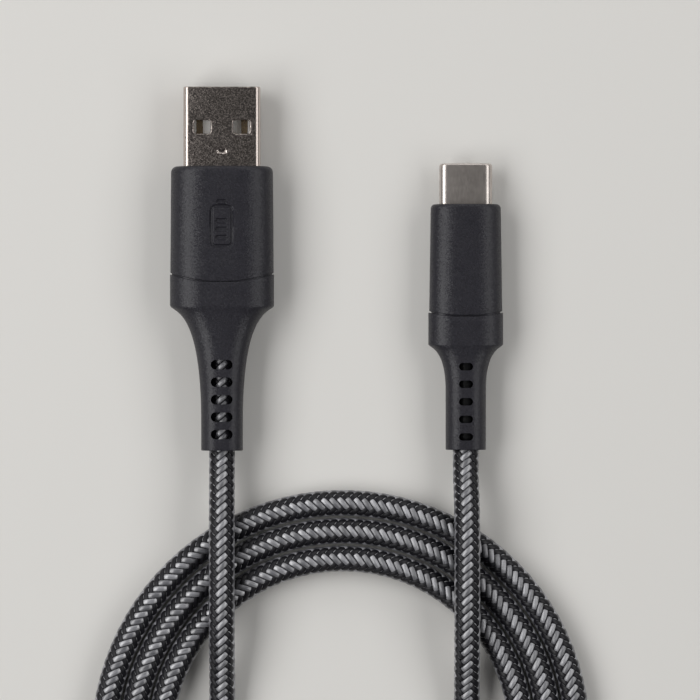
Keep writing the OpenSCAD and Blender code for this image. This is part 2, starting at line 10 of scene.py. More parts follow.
import bpy
import numpy as np
from bpy.props import FloatProperty, FloatVectorProperty, IntProperty, PointerProperty
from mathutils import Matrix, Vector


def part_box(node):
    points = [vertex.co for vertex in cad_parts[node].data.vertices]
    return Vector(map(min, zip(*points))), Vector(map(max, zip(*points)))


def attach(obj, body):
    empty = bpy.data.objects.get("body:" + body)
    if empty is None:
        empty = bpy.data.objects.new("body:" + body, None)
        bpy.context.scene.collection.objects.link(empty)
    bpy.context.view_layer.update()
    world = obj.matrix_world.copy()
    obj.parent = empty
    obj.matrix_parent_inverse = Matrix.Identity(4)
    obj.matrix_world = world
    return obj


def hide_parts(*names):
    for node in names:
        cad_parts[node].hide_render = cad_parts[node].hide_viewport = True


bl_info = {
    "name": "Charging cable",
    "version": (1, 0, 0),
    "blender": (4, 5, 0),
    "location": "View3D > Sidebar > Cable",
    "description": "Builds a braided charging cable with two moulded plugs",
    "category": "Add Mesh",
}

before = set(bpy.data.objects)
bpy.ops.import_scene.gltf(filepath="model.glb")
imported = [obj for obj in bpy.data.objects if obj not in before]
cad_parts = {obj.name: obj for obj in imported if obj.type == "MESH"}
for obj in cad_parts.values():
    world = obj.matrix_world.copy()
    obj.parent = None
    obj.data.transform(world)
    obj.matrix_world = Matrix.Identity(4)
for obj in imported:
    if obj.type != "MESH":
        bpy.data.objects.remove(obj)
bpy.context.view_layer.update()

MM = 0.001

# ---- Sizes that follow the frame ----


def span(node):
    """Lowest corner, highest corner and centre of a node of the frame, as arrays."""
    low, high = (np.array(corner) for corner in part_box(node))
    return low, high, (low + high) / 2


class Plug:
    """Places and sizes of one plug, read from the frame: its axis, and its mouldings."""

    def __init__(self, prefix):
        self.prefix = prefix
        cover_low, cover_high, _ = span(prefix + "_front_cover")
        boot_low, _, _ = span(prefix + "_rear_boot")
        shell_low, shell_high, self.axis = span(prefix + "_shell")
        mold_low, mold_high, _ = span(prefix + "_inner_mold")
        self.front, self.end, self.tip = cover_high[1], boot_low[1], shell_high[1]
        self.cover = (cover_high - cover_low)[[0, 2]] / 2
        self.shell = (shell_high - shell_low)[[0, 2]] / 2
        self.mold = (mold_high - mold_low)[[0, 2]] / 2
        self.mold_front, self.mold_rear = mold_high[1], mold_low[1]
        self.ferrule_rear = span(prefix + "_crimp_ferrule")[0][1]
        self.exit = np.array([self.axis[0], self.end, self.axis[2]])


charger = Plug("charger_plug")
phone = Plug("phone_plug")

# ---- Cable route, as in the part's source ----

CHARGER_ROUTE = MM * np.array([
    (-17.9, -28.4, 4.0), (-17.9, -31.5, 4.2), (-17.9, -35.0, 5.0), (-17.9, -38.5, 5.8),
    (-17.9, -42.0, 6.1), (-17.9, -47.0, 6.1), (-17.9, -52.5, 6.1), (-17.9, -56.0, 5.8),
    (-17.9, -60.0, 4.7), (-17.9, -64.0, 3.1), (-17.9, -67.5, 2.3), (-17.9, -71.0, 2.0),
    (-17.9, -77.0, 2.0), (-17.9, -83.0, 2.0), (-17.9, -89.0, 2.0), (-17.9, -94.3, 2.0),
    (-17.2, -99.4, 2.0), (-15.3, -104.1, 2.0), (-12.2, -108.2, 2.0), (-8.1, -111.3, 2.0),
    (-3.4, -113.2, 2.0), (1.7, -113.9, 2.0),
])
PHONE_ROUTE = MM * np.array([
    (-15.7, -122.5, 2.0), (-10.4, -124.8, 2.9), (-4.4, -126.4, 5.2), (1.7, -127.0, 6.1),
    (6.5, -126.3, 6.1), (11.0, -124.4, 6.1), (14.9, -121.5, 6.1), (17.9, -117.6, 6.1),
    (19.8, -113.1, 6.1), (20.4, -108.2, 6.1), (20.4, -104.0, 5.8), (20.4, -100.0, 4.9),
    (20.4, -96.5, 3.4), (20.4, -93.0, 2.4), (20.4, -89.0, 2.0), (20.4, -83.0, 2.0),
    (20.4, -77.0, 2.0), (20.4, -71.0, 2.0), (20.4, -67.5, 2.3), (20.4, -64.0, 3.2),
    (20.4, -60.0, 4.9), (20.4, -56.5, 5.8), (20.4, -53.0, 6.1), (20.4, -47.5, 6.1),
    (20.4, -42.0, 6.1), (20.4, -38.5, 5.7), (20.3, -35.0, 4.6), (20.2, -31.8, 3.6),
    (20.2, -28.3, 3.2),
])
COIL_X = 1.7 * MM
COIL_UPPER_Y = -73.7 * MM
COIL_LOWER_Y = -87.7 * MM
COIL_FIRST_RADIUS = 26.2 * MM
COIL_PITCH = 4.35 * MM
COIL_TURNS = 3
COIL_SHORT = 26.6  # degrees of the last turn that belong to the climbing run

# ---- Settings ----


def linear(hex_colour):
    """Linear red, green and blue of an sRGB hex value such as "#2B2A30"."""
    srgb = np.array([int(hex_colour[i:i + 2], 16) for i in (1, 3, 5)]) / 255
    return tuple(np.where(srgb <= 0.04045, srgb / 12.92, ((srgb + 0.055) / 1.055) ** 2.4))


def colour(name, description, hex_colour):
    """Colour property with an sRGB hex default."""
    return FloatVectorProperty(
        name=name, description=description, subtype="COLOR", min=0, max=1, default=linear(hex_colour)
    )


def size(name, description, millimetres):
    """Length property with a default in millimetres."""
    return FloatProperty(
        name=name, description=description, subtype="DISTANCE", unit="LENGTH", precision=5,
        default=millimetres * MM,
    )


class CableSizes(bpy.types.PropertyGroup):
    """Sizes of the woven sleeve."""

    diameter: size("Diameter", "Diameter over the woven sleeve", 4.0)
    jacket: size("Jacket radius", "Radius of the dark jacket that shows between the yarns", 1.70)
    lead: size("Lead", "Length along the cable in which a yarn goes once round", 10.05)
    light_width: size("Light yarn width", "Width of one light yarn", 0.84)
    dark_width: size("Dark yarn width", "Width of one dark yarn", 0.88)
    yarn_thickness: size("Yarn thickness", "Thickness of one flat yarn", 0.20)
    carriers: IntProperty(
        name="Yarns each way", description="Number of yarns that run each way round, a multiple of 4",
        default=8, min=4, max=16,
    )


class CableColours(bpy.types.PropertyGroup):
    """Colours of the mouldings, the yarns and the metal."""

    moulding: colour("Mouldings", "Charcoal of the covers and strain reliefs", "#242329")
    pale_yarn: colour("Pale yarn", "Every second light yarn", "#8A8A8F")
    grey_yarn: colour("Grey yarn", "The light yarns between the pale ones", "#626267")
    dark_yarn: colour("Dark yarn", "Yarns that run the other way", "#16151A")
    jacket: colour("Jacket", "Jacket under the yarns", "#0E0E10")
    charger_shell: colour("Charger plug shell", "Grainy nickel plating", "#8C847F")
    phone_shell: colour("Phone plug shell", "Satin nickel plating", "#CCC4BE")


class StageSettings(bpy.types.PropertyGroup):
    """Floor, lights and camera."""

    floor: colour("Floor", "Pale floor", "#DCDAD6")
    view_width: size("View width", "Width that the camera takes in", 109.4)
    view_x: size("View centre across", "Middle of the view across the cable", 2.1)
    view_y: size("View centre along", "Middle of the view along the plugs", -12.7)
    camera_height: size("Camera height", "Height of the camera above the floor", 1000)


# ---- Mesh helpers ----


def grid_quads(rows, columns, close_rows):
    """Corner numbers of the faces of a grid whose columns wrap round. close_rows also joins
    the last row to the first."""
    r, c = np.meshgrid(np.arange(rows if close_rows else rows - 1), np.arange(columns), indexing="ij")
    here, below = r * columns, (r + 1) % rows * columns
    right = (c + 1) % columns
    return np.stack([here + c, here + right, below + right, below + c], -1)


def closed_surface(name, points, close_rows=False):
    """Piece whose surface is a grid of points, rows by columns. The columns wrap round, and
    the rows wrap round too or end in a flat cap each. Faces are turned so that the signed
    volume, the sum of p0 . (p1 x p2) over the triangles, is positive."""
    rows, columns = points.shape[:2]
    vertices = points.reshape(-1, 3)
    quads = grid_quads(rows, columns, close_rows).reshape(-1, 4)
    a, b, c, d = (vertices[quads[:, k]] for k in range(4))
    volume = (a * np.cross(b, c)).sum() + (a * np.cross(c, d)).sum()
    faces = (quads if volume > 0 else quads[:, ::-1]).tolist()
    if not close_rows:
        first, last = list(range(columns)), list(range((rows - 1) * columns, rows * columns))
        faces += [first[::-1], last] if volume > 0 else [first, last[::-1]]
    mesh = bpy.data.meshes.new(name)
    mesh.from_pydata(vertices, [], faces)
    mesh.validate()
    mesh.shade_smooth()
    piece = bpy.data.objects.new(name, mesh)
    bpy.context.scene.collection.objects.link(piece)
    return piece


def join_surfaces(name, parts):
    """One piece made of several closed surfaces."""
    bpy.ops.object.select_all(action="DESELECT")
    for part in parts:
        part.select_set(True)
    bpy.context.view_layer.objects.active = parts[0]
    bpy.ops.object.join()
    parts[0].name = parts[0].data.name = name
    return parts[0]


def set_grid_uv(piece, along, across):
    """UV map of a grid surface in millimetres: u along its rows and v round its columns."""
    rows, columns = len(along), len(across)
    corner = np.empty(len(piece.data.loops), np.int32)
    piece.data.loops.foreach_get("vertex_index", corner)
    uv = np.stack([along[corner // columns % rows], across[corner % columns]], -1) / MM
    layer = piece.data.uv_layers.new(name="yarn")
    layer.data.foreach_set("uv", uv.astype(np.float32).ravel())


def sharpen(piece, degrees):
    """Edges that turn by more than the angle are shaded as creases."""
    piece.data.set_sharp_from_angle(angle=math.radians(degrees))


def dress(piece, material):
    """Gives a piece or a node of the frame one material."""
    if len(piece.material_slots) == 0:
        piece.data.materials.append(material)
    for slot in piece.material_slots:
        slot.material = material


# ---- Material helpers ----


def add_node(tree, kind, links=None, values=None, **settings):
    """Adds a shader node: settings are its own properties, values its inputs' numbers and
    links its inputs' sources, each a socket."""
    made = tree.nodes.new(kind)
    for key, value in settings.items():
        setattr(made, key, value)
    for key, value in (values or {}).items():
        made.inputs[key].default_value = value
    for key, source in (links or {}).items():
        tree.links.new(source, made.inputs[key])
    return made


def new_material(name, rgb, roughness, metallic=0.0, **sockets):
    """Material with one Principled shader. Other sockets are given by their names, with
    underscores for spaces. Returns the material, its tree and the shader."""
    material = bpy.data.materials.new(name)
    material.use_nodes = True
    tree = material.node_tree
    shader = tree.nodes["Principled BSDF"]
    shader.inputs["Base Color"].default_value = (*rgb, 1)
    shader.inputs["Roughness"].default_value = roughness
    shader.inputs["Metallic"].default_value = metallic
    for key, value in sockets.items():
        shader.inputs[key.replace("_", " ")].default_value = value
    return material, tree, shader


def object_place(tree):
    """Object coordinates, in metres."""
    return add_node(tree, "ShaderNodeTexCoord").outputs["Object"]


def object_noise(tree, grain, detail=3.0):
    """Noise of a given grain size, in metres, on Object coordinates."""
    return add_node(
        tree, "ShaderNodeTexNoise", {"Vector": object_place(tree)},
        {"Scale": 1 / grain, "Detail": detail, "Roughness": 0.6},
    ).outputs["Fac"]


def bump(tree, shader, height, strength, depth):
    """Bump of the given depth, in metres, on a shader."""
    relief = add_node(
        tree, "ShaderNodeBump", {"Height": height}, {"Strength": strength, "Distance": depth}
    )
    tree.links.new(relief.outputs["Normal"], shader.inputs["Normal"])


def spread(tree, source, low, high, start=0.3, end=0.7):
    """Maps a factor from start..end to low..high."""
    return add_node(
        tree, "ShaderNodeMapRange", {"Value": source},
        {"From Min": start, "From Max": end, "To Min": low, "To Max": high},
    ).outputs["Result"]


def vector_math(tree, operation, first, links=None, values=None):
    """Vector that an operation makes of a first input and others."""
    made = add_node(
        tree, "ShaderNodeVectorMath", {0: first, **(links or {})}, values, operation=operation
    )
    return made.outputs["Vector"]


def facets(tree, shader, grain, tilt, strength=None):
    """Facets of the size of the grain, each with a normal of its own that is tilted by up to
    the angle: normal = normalized(surface normal + strength sin(tilt) (2 random - 1)). Some of
    them glint. The strength is an output, or 1 where there is none, and the random value of
    each facet is given back."""
    cells = add_node(tree, "ShaderNodeTexVoronoi", {"Vector": object_place(tree)}, {"Scale": 1 / grain})
    lean = math.sin(math.radians(tilt))
    offset = vector_math(
        tree, "MULTIPLY_ADD", cells.outputs["Color"], values={1: (2 * lean,) * 3, 2: (-lean,) * 3}
    )
    if strength is not None:
        offset = vector_math(tree, "SCALE", offset, {"Scale": strength})
    surface = add_node(tree, "ShaderNodeNewGeometry")
    leaning = vector_math(tree, "ADD", surface.outputs["Normal"], {1: offset})
    tree.links.new(vector_math(tree, "NORMALIZE", leaning), shader.inputs["Normal"])
    return cells.outputs["Color"]


def blend_colours(tree, factor, first, second):
    """Colour between two others, each of them a linear colour or an output."""
    mix = add_node(tree, "ShaderNodeMix", {"Factor": factor}, data_type="RGBA")
    for key, source in (("A", first), ("B", second)):
        if isinstance(source, tuple):
            mix.inputs[key].default_value = (*source, 1)
        else:
            tree.links.new(source, mix.inputs[key])
    return mix.outputs["Result"]


def shade(rgb, factor):
    """A colour made lighter or darker by a factor."""
    return tuple(min(1.0, channel * factor) for channel in rgb)


def vary_tone(tree, shader, factor, dark, light):
    """Base colour between two others, each of them a linear colour or an output."""
    tree.links.new(blend_colours(tree, factor, dark, light), shader.inputs["Base Color"])


def vary_roughness(tree, shader, factor, low, high):
    """Roughness that follows a noise from low to high."""
    tree.links.new(spread(tree, factor, low, high), shader.inputs["Roughness"])


# ---- Materials ----


def charcoal_moulding(colours, name):
    """ABS and soft elastomer moulded in a spark-eroded tool: matt, with a grain that glints.
    The real grain is about 0.05 mm; it is drawn at 0.11 mm so that it shows."""
    rgb = colours.moulding
    material, tree, shader = new_material(name, rgb, 0.4, IOR=1.5, Specular_IOR_Level=0.36)
    grain = facets(tree, shader, 0.11 * MM, 8)
    vary_tone(tree, shader, spread(tree, grain, 0, 1), shade(rgb, 0.8), shade(rgb, 1.25))
    vary_roughness(tree, shader, object_noise(tree, 3 * MM), 0.37, 0.42)
    return material


def grainy_nickel_painted_highlights(colours):
    """Nickel plated on blasted steel sheet: a grain of facets that glint one by one, and that the folds
    along both edges have smoothed. The real grain is about 0.05 mm; its facets are drawn 0.13 mm apart
    so that they show. Its base colour has painted glints, a few facets much lighter than the rest, and a
    painted highlight along both folded edges, where it is lighter all over."""
    rgb = colours.charger_shell
    material, tree, shader = new_material("blasted_nickel_plate", rgb, 0.27, 1.0)
    axes = add_node(tree, "ShaderNodeSeparateXYZ", {0: object_place(tree)})
    side = add_node(
        tree, "ShaderNodeMath", {0: axes.outputs["X"]}, {1: charger.axis[0]}, operation="SUBTRACT"
    )
    distance = add_node(tree, "ShaderNodeMath", {0: side.outputs[0]}, operation="ABSOLUTE")
    # flat: 1 on the shell's flat top, 0 on its folded edges; it fades the facets and marks where the
    # painted highlight goes
    flat = spread(tree, distance.outputs[0], 1, 0, 5.1 * MM, 5.5 * MM)
    grain = facets(tree, shader, 0.13 * MM, 5.5, flat)
    # painted glints: the base colour of a few facets is up to 2.4 times lighter, of the others down to
    # 0.74 times
    glints = spread(tree, grain, 0, 1, 0.45, 0.85)
    painted_glint_speckle = blend_colours(tree, glints, shade(rgb, 0.74), shade(rgb, 2.4))
    # painted highlight: off the flat top, along both folded edges, the base colour is 2.2 times lighter
    vary_tone(tree, shader, flat, shade(rgb, 2.2), painted_glint_speckle)
    return material


def satin_nickel(colours):
    """Nickel plated on deep-drawn steel: satin, with faint draw marks along the plug."""
    rgb = colours.phone_shell
    material, tree, shader = new_material("satin_nickel_plate", rgb, 0.32, 1.0)
    drawn = add_node(tree, "ShaderNodeMapping", {"Vector": object_place(tree)}, {"Scale": (1, 0.3, 1)})
    marks = add_node(
        tree, "ShaderNodeTexNoise", {"Vector": drawn.outputs["Vector"]},
        {"Scale": 1 / (0.25 * MM), "Detail": 2.0},
    )
    cloud = object_noise(tree, 1.6 * MM, 2.0)
    vary_tone(tree, shader, spread(tree, cloud, 0, 1), shade(rgb, 0.92), shade(rgb, 1.06))
    vary_roughness(tree, shader, marks.outputs["Fac"], 0.31, 0.35)
    bump(tree, shader, cloud, 0.3, 0.002 * MM)
    return material


def stamped_metal(name, rgb, roughness):
    """Stamped and plated sheet metal with faint rolling marks."""
    material, tree, shader = new_material(name, rgb, roughness, 1.0)
    vary_roughness(tree, shader, object_noise(tree, 0.3 * MM), roughness - 0.06, roughness + 0.08)
    return material


def moulded_polymer(name, rgb, roughness):
    """Plain injection moulding with a slight unevenness in its gloss."""
    material, tree, shader = new_material(name, rgb, roughness)
    vary_roughness(tree, shader, object_noise(tree, 0.8 * MM), roughness - 0.05, roughness + 0.05)
    return material


def nylon_yarn(name, rgb, gloss, level):
    """Flat yarn of parallel nylon filaments: silky, with a gloss that is broad across the
    filaments and narrow along them. Light is thrown back by several layers of filaments,
    which the index of 2 stands for (nylon has 1.53). The filaments are 0.02 mm thick;
    they are drawn 0.2 mm apart so that they show."""
    material, tree, shader = new_material(
        name, rgb, gloss, IOR=2.0, Specular_IOR_Level=level, Anisotropic=0.8,
        Anisotropic_Rotation=0.25,  # a quarter turn: across the filaments
    )
    strands = add_node(tree, "ShaderNodeUVMap", uv_map="yarn")
    filament = add_node(
        tree, "ShaderNodeMapping", {"Vector": strands.outputs["UV"]}, {"Scale": (0.35, 1 / 0.2, 1)}
    )
    lines = add_node(
        tree, "ShaderNodeTexNoise", {"Vector": filament.outputs["Vector"]}, {"Scale": 1.0, "Detail": 2.0}
    ).outputs["Fac"]
    vary_tone(tree, shader, spread(tree, lines, 0, 1), shade(rgb, 0.55), shade(rgb, 1.35))
    bump(tree, shader, lines, 0.6, 0.04 * MM)
    along = add_node(tree, "ShaderNodeTangent", direction_type="UV_MAP", uv_map="yarn")
    tree.links.new(along.outputs["Tangent"], shader.inputs["Tangent"])
    return material


# ---- Centreline ----


EASE_WINDOW = 15  # points over which the kinks of the line are averaged out
STEPS_PER_CROSSING = 2.5  # steps of the line from one crossing of two yarns to the next


def unit(vectors):
    """Vectors brought to length 1."""
    return vectors / np.linalg.norm(vectors, axis=-1, keepdims=True)


def run_along(points):
    """Distance of each point from the first one, along the line."""
    return np.concatenate([[0], np.cumsum(np.linalg.norm(np.diff(points, axis=0), axis=1))])


def smooth_curve(points, first, last, per_span=24):
    """Cubic Hermite curve through points: the slope at a point is the mean of the slopes of
    the two spans beside it, each weighted by the other's length, and is given at both ends."""
    step = np.diff(points, axis=0)
    length = np.linalg.norm(step, axis=1)[:, None]
    slope = step / length
    inner = (slope[:-1] * length[1:] + slope[1:] * length[:-1]) / (length[1:] + length[:-1])
    tangent = np.vstack([first, inner, last])
    t = np.linspace(0, 1, per_span, endpoint=False)[None, :, None]
    p0, p1 = points[:-1, None], points[1:, None]
    m0, m1 = tangent[:-1, None] * length[:, None], tangent[1:, None] * length[:, None]
    curve = (
        (2 * t**3 - 3 * t**2 + 1) * p0 + (t**3 - 2 * t**2 + t) * m0
        + (3 * t**2 - 2 * t**3) * p1 + (t**3 - t**2) * m1
    )
    return np.vstack([curve.reshape(-1, 3), points[-1:]])


def coil_curve(height):
    """Flat spiral whose radius grows by one pitch a turn: a point is the centre plus
    r (sin a, -cos a), and the centre is the lower one while cos a > 0, else the upper one."""
    a = np.radians(np.linspace(0, 360 * COIL_TURNS - COIL_SHORT, 2400))[1:-1]
    r = COIL_FIRST_RADIUS + COIL_PITCH * a / (2 * np.pi)
    centre = np.where(np.cos(a) > 0, COIL_LOWER_Y, COIL_UPPER_Y)
    return np.stack([COIL_X + r * np.sin(a), centre - r * np.cos(a), np.full_like(a, height)], -1)


def even_steps(curve, step):
    """The same line with points a constant distance apart along it."""
    s = run_along(curve)
    at = np.linspace(0, s[-1], int(round(s[-1] / step)) + 1)
    return np.stack([np.interp(at, s, curve[:, k]) for k in range(3)], -1)


def ease(curve, window):
    """Moving average over a window of points; the ends are carried on in a straight line."""
    half = window // 2
    k = np.arange(half, 0, -1)[:, None]
    head = curve[0] - k * (curve[1] - curve[0])
    tail = curve[-1] + k[::-1] * (curve[-1] - curve[-2])
    padded = np.vstack([head, curve, tail])
    kernel = np.ones(2 * half + 1) / (2 * half + 1)
    return np.stack([np.convolve(padded[:, axis], kernel, "valid") for axis in range(3)], -1)


def cable_line(step):
    """Centreline from ferrule to ferrule at a constant step, and the numbers of its first and
    last free points. The stretches inside the two strain reliefs are straight."""
    turned = math.radians(COIL_SHORT)
    free = np.vstack([
        smooth_curve(CHARGER_ROUTE, (0, -1, 0), (1, 0, 0)),
        coil_curve(CHARGER_ROUTE[-1][2]),
        smooth_curve(PHONE_ROUTE, (math.cos(turned), -math.sin(turned), 0), (0, 1, 0)),
    ])
    head = np.array([charger.axis[0], charger.ferrule_rear, charger.axis[2]])
    tail = np.array([phone.axis[0], phone.ferrule_rear, phone.axis[2]])
    line = ease(ease(even_steps(np.vstack([head, free, tail]), step), EASE_WINDOW), EASE_WINDOW)
    first = np.argmin(np.abs(line[: len(line) // 3, 1] - charger.end))
    last = 2 * len(line) // 3 + np.argmin(np.abs(line[2 * len(line) // 3:, 1] - phone.end))
    return line, int(first), int(last)


def frames(line):
    """Unit side and up vectors along a line: the side is level, and up is square to it and to
    the line."""
    tangent = unit(np.gradient(line, axis=0))
    side = unit(np.cross(tangent, (0, 0, 1)))
    return side, np.cross(side, tangent)


def round_tube(name, line, radius, sides=20):
    """Tube round a line."""
    side, up = frames(line)
    a = np.linspace(0, 2 * np.pi, sides, endpoint=False)[None, :, None]
    ring = np.cos(a) * side[:, None] + np.sin(a) * up[:, None]
    return closed_surface(name, line[:, None] + radius * ring)


SLEEVE_END_INSIDE = 1.1 * MM  # how far the sleeve goes into the phone plug's strain relief
# Section of a flat yarn: places across and heights, as shares of half its width and of its
# thickness, going round
YARN_ACROSS = np.array([-1.0, -0.76, 0.0, 0.76, 1.0, 0.0])
YARN_HEIGHT = np.array([-0.20, 0.74, 1.00, 0.74, -0.20, -0.55])
YARN_SWING = 0.42  # how far a yarn moves out and in, as a share of its thickness
YARN_CLEARANCE = 0.80  # from its outermost spine to the sleeve's outside, as such a share
YARN_STEEPNESS = 2.6  # how fast it dives between the others
YARN_SPREAD = 0.04  # share by which it is wider on top and narrower below
YARN_UV_SHIFT = 10 * MM  # shift of the filament pattern from yarn to yarn


def yarn_surface(name, line, number, way, sizes):
    """One yarn of the sleeve, a ribbon that spirals round the line: its angle is
    top - (2 pi number / n + way 2 pi s / lead), with way 1 or -1. It crosses the other set
    2 n times a lead, and its height is a flattened cosine of the crossings with a period of
    four: over two yarns, then under two."""
    n = sizes.carriers
    step = np.linalg.norm(line[1] - line[0])
    s = step * np.arange(len(line))
    crossings = 2 * n * s / sizes.lead
    pitch_angle = 2 * np.pi / n
    top = np.pi / 2 + pitch_angle / 4
    angle = top - (pitch_angle * number + way * 2 * np.pi * s / sizes.lead)
    phase = 2 * number + way * crossings - (0.5 if way > 0 else 2.5)
    lift = np.tanh(YARN_STEEPNESS * np.cos(np.pi * phase / 2)) / math.tanh(YARN_STEEPNESS)

    side, up = frames(line)
    out = np.cos(angle)[:, None] * side + np.sin(angle)[:, None] * up
    swing = YARN_SWING * sizes.yarn_thickness
    middle = sizes.diameter / 2 - YARN_CLEARANCE * sizes.yarn_thickness - swing
    spine = line + (middle + swing * lift)[:, None] * out
    tangent = unit(np.gradient(spine, axis=0))
    across = unit(np.cross(tangent, out))
    normal = np.cross(across, tangent)
    width = sizes.light_width if way > 0 else sizes.dark_width
    half = width / 2 * (1 + YARN_SPREAD * lift)
    points = (
        spine[:, None]
        + (half[:, None] * YARN_ACROSS)[:, :, None] * across[:, None]
        + (sizes.yarn_thickness * YARN_HEIGHT)[None, :, None] * normal[:, None]
    )
    piece = closed_surface(name, points)
    set_grid_uv(piece, run_along(spine) + number * YARN_UV_SHIFT, YARN_ACROSS * width / 2)
    return piece


# ---- Mouldings ----


def rounded_section(half_width, half_height, radius, corner=8, top_marks=()):
    """Outline of a rounded rectangle, as x and z: four corner arcs in turn, and between the
    first two extra points on the top side, at shares of its straight half. The radius is one
    number, or two for elliptic corners: across and up."""
    radius_x, radius_z = np.broadcast_to(radius, 2)
    q, k = np.meshgrid(np.arange(4), np.linspace(0, 1, corner), indexing="ij")
    a = (np.pi / 2 * (q + k)).ravel()
    sx = np.where((q == 0) | (q == 3), 1, -1).ravel()
    sz = np.where(q < 2, 1, -1).ravel()
    x = sx * (half_width - radius_x) + radius_x * np.cos(a)
    z = sz * (half_height - radius_z) + radius_z * np.sin(a)
    marks = -np.asarray(top_marks)
    x = np.insert(x, corner, np.sort(marks)[::-1] * (half_width - radius_x))
    z = np.insert(z, corner, np.full(len(marks), half_height))
    return np.stack([x, z], -1)


def cubic(values, t):
    """Cubic curve from its four control values."""
    a, b, c, d = values
    return a * (1 - t)**3 + 3 * b * (1 - t)**2 * t + 3 * c * (1 - t) * t**2 + d * t**3


def arc_radius(half_chord, rise):
    """Radius of an arc from its half-chord and its rise."""
    return (half_chord**2 + rise**2) / (2 * rise)


def lay_rings(plug, stations, arc_r=1.0, **section):
    """Rings of points for a closed moulding. A station is (y, half width, half height, corner
    radius, bow): the ring is a rounded rectangle, and bow shares in the arc of the parting
    groove, which moves a point at x forwards by R - sqrt(R^2 - x^2)."""
    rings = []
    for y, half_width, half_height, radius, bow in stations:
        outline = rounded_section(half_width, half_height, radius, **section)
        arc = arc_r - np.sqrt(arc_r**2 - outline[:, 0] ** 2)
        rings.append(np.stack([
            plug.axis[0] + outline[:, 0], y + bow * arc, plug.axis[2] + outline[:, 1]
        ], -1))
    return np.array(rings)


def charge_mark_depth(x, y):
    """Depth of the sunk battery mark as a share, from the distance to its figure: an outline
    3.6 by 6.6 mm whose line is 0.4 mm wide, a terminal above it and three bars inside."""

    def box_distance(middle, half_x, half_y, radius):
        """Distance from a round-cornered box, below 0 inside it."""
        dx, dy = np.abs(x) - half_x + radius, np.abs(y - middle) - half_y + radius
        beyond = np.hypot(np.maximum(dx, 0), np.maximum(dy, 0))
        return beyond + np.minimum(np.maximum(dx, dy), 0) - radius

    outline = np.abs(box_distance(MARK_MIDDLE, 1.6 * MM, 3.1 * MM, 0.7 * MM)) - 0.2 * MM
    terminal = box_distance(MARK_MIDDLE + 3.8 * MM, 0.75 * MM, 0.3 * MM, 0.25 * MM)
    bars = [
        box_distance(MARK_MIDDLE + (1.3 * i - 1.8) * MM, 0.9 * MM, 0.35 * MM, 0.3 * MM) for i in range(3)
    ]
    distance = np.minimum.reduce([outline, terminal, *bars])
    return np.clip(0.5 - distance / MARK_BEVEL, 0, 1)


def in_millimetres(**sizes):
    """A plug's form, in metres, from sizes in millimetres."""
    return {key: np.array(value) * MM for key, value in sizes.items()}


# Each plug's form. Places are measured along the plug, in the frame's coordinates.
# groove: the parting groove's middle and its edge; groove_depth: down to the collar
# half_widths: of the body, at the front, at the groove and at the shoulder
# edge, collar_edge, mouth_edge: corners of the body's section, across and up, of the
# collar's under the groove, and of the cover's mouth; corner: front corner in plan
# sweep: the shoulder, two inner control values and the end of the sweep to the neck
# neck: its half width and half height; slots: first place, pitch, width and length
# wall, shell_edge, mouth_round: the shell's sheet, corner and two radii of its mouth
# dimple: place, half length, radius and depth
# windows: distances from the middle and from the tip, half sizes, corner and rolled edge
CHARGER_FORM = in_millimetres(
    groove=(-2.02, -0.67), groove_depth=0.22, half_widths=(7.97, 8.08, 8.13),
    edge=(5.2, 3.8), collar_edge=(4.6, 3.58), mouth_edge=0.65, corner=1.0,
    sweep=(-5.6, -7.1, -5.0, -24.0), neck=(3.25, 3.1), slots=(-15.0, 2.72, 3.4, 1.5),
    wall=0.3, shell_edge=0.85, mouth_round=(0.22, 0.15), dimple=(18.25, 0.42, 0.46, 0.20),
    windows=(3.05, 6.3, 1.30, 1.05, 0.45, 0.2),
)
PHONE_FORM = in_millimetres(
    groove=(-7.32, -6.66), groove_depth=0.30, half_widths=(5.48, 5.72, 5.85),
    edge=(4.0, 3.05), collar_edge=(2.6, 2.75), mouth_edge=1.22, corner=0.7,
    sweep=(-11.75, -12.4, -12.2, -19.0), neck=(3.15, 2.8), slots=(-15.3, 2.74, 2.2, 1.17),
    wall=0.25, shell_edge=1.17, mouth_round=(0.45, 0.25),
)
FORMS = ((charger, CHARGER_FORM), (phone, PHONE_FORM))
SLOT_COUNT = 5
CREASE = 40  # degrees by which an edge has to turn to be shaded as a crease
SLOT_CREASE = 35  # and round the slots
GROOVE_WIDTH = 0.22 * MM
EDGE_BREAK = 0.12 * MM  # small radius along the parting groove, at the mouth and at the cable
WALL_GAP = 0.03 * MM
SKIN = 0.01 * MM  # thin enough to tell the flat top from the rest
FRONT_DROP = 0.5  # fall of the top towards the front, as a share of the front corner
POCKET_EDGE = 1.3 * MM  # corner of the pocket round the inner moulding
COLLAR_LENGTH = 2.2 * MM  # of the rear moulding's collar
COVER_LAP = 2.6 * MM  # how deep the cover's rear end is hollow for it
NECK_EDGE = 2.5 * MM
BORE = 2.04 * MM  # radius of the rear moulding's bore for the cable
FERRULE_POCKET = 2.38 * MM  # and of its pocket for the ferrule
ROUND_MARGIN = 0.02 * MM  # straight stretch that keeps the corners of a round section apart
# The charge mark on the wide plug: its middle, how deep it is and how wide its bevel, half
# the width of the stretch with fine columns, and the two ends of the stretch with fine rows
MARK_MIDDLE = 6.6 * MM
MARK_DEPTH = 0.25 * MM
MARK_BEVEL = 0.12 * MM
MARK_REACH = 2.1 * MM
MARK_ROWS = (3.0 * MM, 11.0 * MM)
DIMPLE_STEP = 0.08 * MM  # from row to row of points across the dimple
CUTTER_OVERLAP = 0.1 * MM  # how far the windows' cutters stand out of the shell
SLOT_REACH = 6 * MM  # how far the slots' cutters reach up and down


def groove_radius(plug, form):
    """Radius of the parting groove's arc."""
    middle, edge = form["groove"]
    return arc_radius(plug.cover[0], edge - middle)


def collar_section(plug, form, gap):
    """Section of the collar that fills the cover's rear end, at the groove's depth."""
    drawn_in = form["groove_depth"] + gap
    return form["half_widths"][1] - drawn_in, plug.cover[1] - drawn_in, form["collar_edge"] - gap


